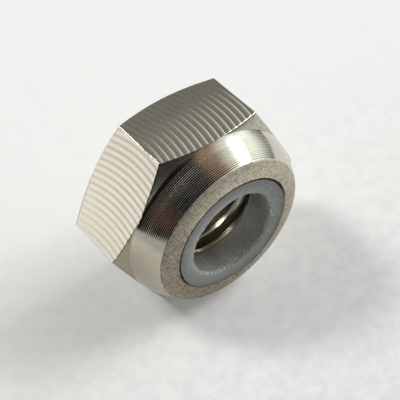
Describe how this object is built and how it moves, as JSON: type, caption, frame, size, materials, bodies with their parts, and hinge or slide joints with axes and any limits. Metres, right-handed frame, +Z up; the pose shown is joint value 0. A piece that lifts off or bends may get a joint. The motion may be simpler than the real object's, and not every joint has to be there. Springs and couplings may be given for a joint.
{
  "type": "nylon insert lock nut",
  "caption": "Stainless hexagon lock nut with a tapered turned collar whose rolled lip holds a grey nylon ring over a fine metric thread.",
  "frame": {"origin": "centre of the bearing face, on the thread axis", "axes": "the nut lies on one flat of its hexagon: +Z up, +Y along the thread axis out of the bearing face, and the nylon ring faces -Y"},
  "size_m": [0.0196, 0.01, 0.017],
  "materials": {
    "stainless_steel": "machined stainless steel: fly-cut flats, fine turned collar, bead-blasted rolled lip",
    "grey_nylon": "satin grey nylon"
  },
  "bodies": {
    "root": {"nut_body": "stainless_steel", "nylon_ring": "grey_nylon"}
  },
  "joints": []
}
